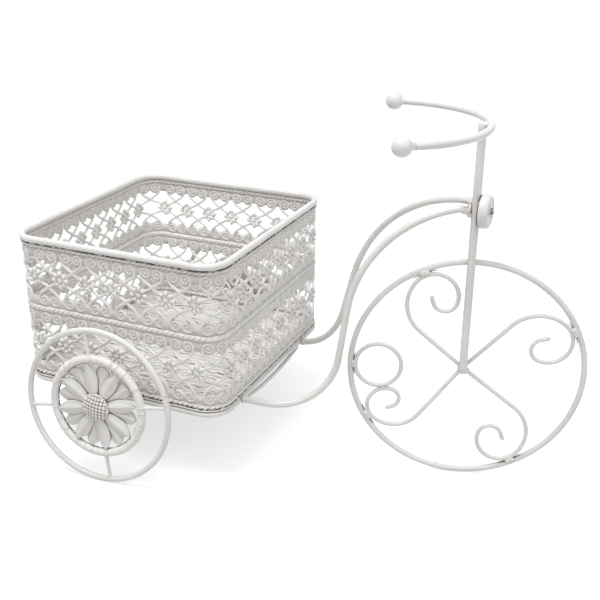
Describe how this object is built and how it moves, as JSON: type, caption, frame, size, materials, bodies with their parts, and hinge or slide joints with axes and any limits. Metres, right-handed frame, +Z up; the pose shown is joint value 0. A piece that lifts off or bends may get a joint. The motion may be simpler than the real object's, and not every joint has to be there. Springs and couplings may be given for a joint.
{
  "type": "bicycle plant stand",
  "caption": "Wrought-iron planter in the form of a tricycle: an openwork basket between two daisy wheels, with a scroll-filled front wheel that steers under a handlebar and a lamp.",
  "frame": {"origin": "on the ground under the middle of the stand's length and width", "axes": "+X forward, towards the front wheel; +Y to the stand's left; +Z up"},
  "size_m": [0.5587, 0.3418, 0.374],
  "materials": {
    "white_paint": "satin",
    "dark_steel": "satin"
  },
  "bodies": {
    "base": {"basket_rim": "white_paint", "border_top": "white_paint", "border_middle": "white_paint", "border_bottom": "white_paint", "lace_upper_front": "white_paint", "lace_upper_rear": "white_paint", "lace_upper_left": "white_paint", "lace_upper_right": "white_paint", "lace_lower_front": "white_paint", "lace_lower_rear": "white_paint", "lace_lower_left": "white_paint", "lace_lower_right": "white_paint", "corner_front_left": "white_paint", "corner_front_right": "white_paint", "corner_rear_left": "white_paint", "corner_rear_right": "white_paint", "base_frame": "white_paint", "lace_spacers": "white_paint", "under_wire": "white_paint", "floor_plate": "white_paint", "floor_bars": "white_paint", "front_bow": "white_paint", "frame_rod_left": "white_paint", "frame_rod_right": "white_paint", "head_barrel": "white_paint", "lamp_disc": "white_paint", "lamp_screw": "dark_steel", "axle_left": "white_paint", "axle_right": "white_paint", "axle_cap_left": "dark_steel", "axle_cap_right": "dark_steel"},
    "front": {"post": "white_paint", "front_ring": "white_paint", "scroll_upper_rear": "white_paint", "scroll_upper_front": "white_paint", "scroll_lower_front": "white_paint", "scroll_lower_rear": "white_paint", "small_ring_wire": "white_paint", "scroll_tabs": "white_paint", "handlebar": "white_paint", "ball_left": "white_paint", "ball_right": "white_paint"},
    "wheel_left": {"wheel_ring_left": "white_paint", "wheel_spokes_left": "white_paint", "wrapped_ring_left": "white_paint", "petals_front_left": "white_paint", "petals_back_left": "white_paint", "seeds_left": "white_paint", "hub_left": "white_paint"},
    "wheel_right": {"wheel_ring_right": "white_paint", "wheel_spokes_right": "white_paint", "wrapped_ring_right": "white_paint", "petals_front_right": "white_paint", "petals_back_right": "white_paint", "seeds_right": "white_paint", "hub_right": "white_paint"}
  },
  "joints": [
    {"name": "steering", "type": "hinge", "parent": "base", "child": "front", "pos_m": [0.165, -0.0075, 0.2], "axis": [0, 0, 1], "range_deg": [-34.7, 1.3]},
    {"name": "wheel_spin_left", "type": "hinge", "parent": "base", "child": "wheel_left", "pos_m": [-0.16484, 0.15909, 0.0822], "axis": [0.04, 0.9954, 0.0872], "continuous": true},
    {"name": "wheel_spin_right", "type": "hinge", "parent": "base", "child": "wheel_right", "pos_m": [-0.16484, -0.15909, 0.0822], "axis": [0.04, -0.9954, 0.0872], "continuous": true}
  ]
}
